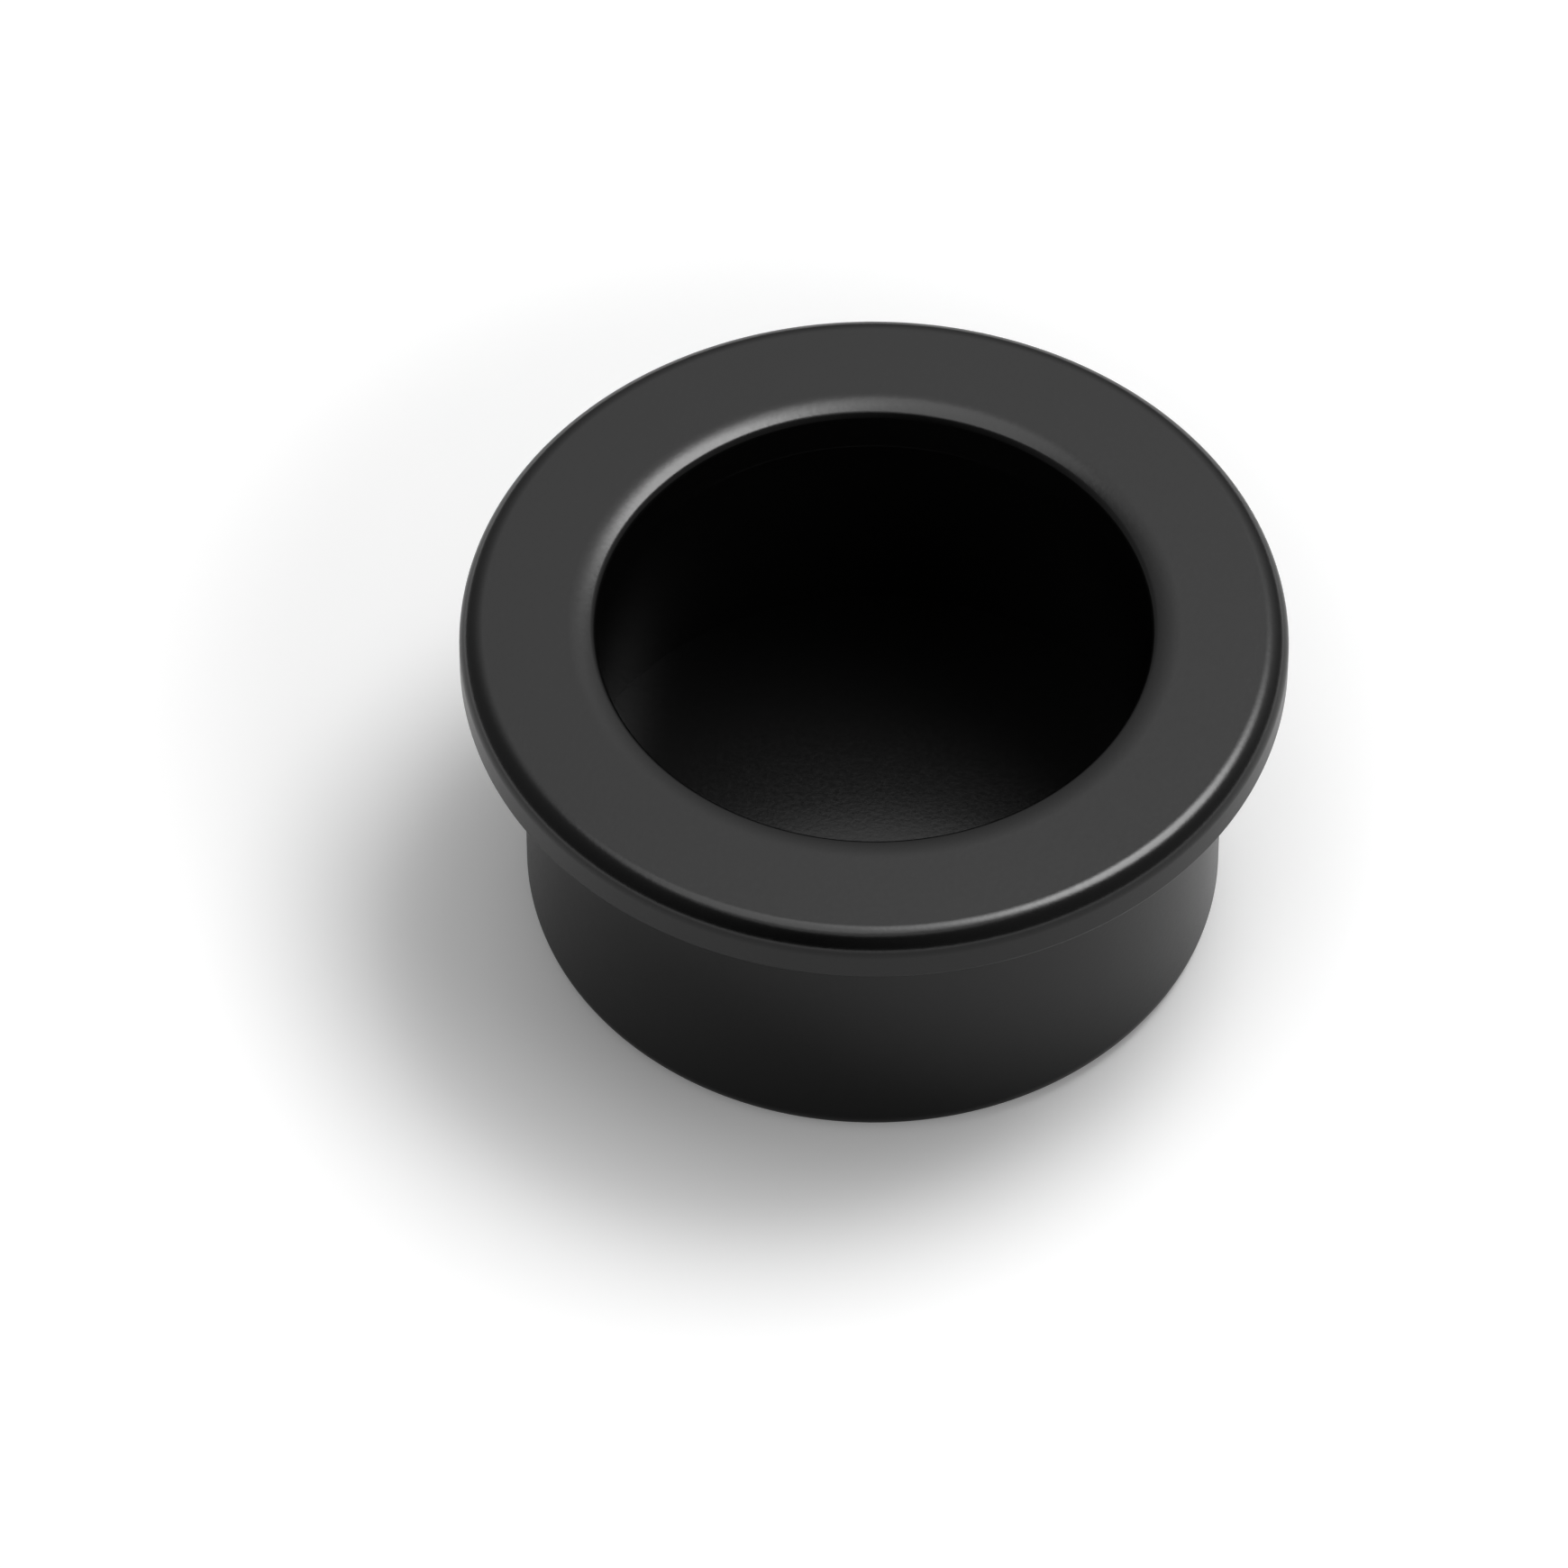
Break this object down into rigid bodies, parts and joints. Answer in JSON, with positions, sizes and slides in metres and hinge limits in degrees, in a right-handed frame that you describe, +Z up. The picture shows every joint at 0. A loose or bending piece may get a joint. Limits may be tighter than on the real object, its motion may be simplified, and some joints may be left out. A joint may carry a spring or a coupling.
{
  "type": "recessed pull",
  "caption": "Round recessed finger pull: a cup with a flat flange and an undercut lip, let into a drilled hole in a sliding door or drawer front.",
  "frame": {"origin": "centre of the flat base that the cup stands on", "axes": "+Z up along the axis of revolution, from the base to the flange and out of the mouth; X and Y are any two directions across it"},
  "size_m": [0.04, 0.04, 0.0182],
  "materials": {
    "matt_black_coat": "fine matt black powder coat over turned aluminium"
  },
  "bodies": {
    "root": {"pull": "matt_black_coat"}
  },
  "joints": []
}
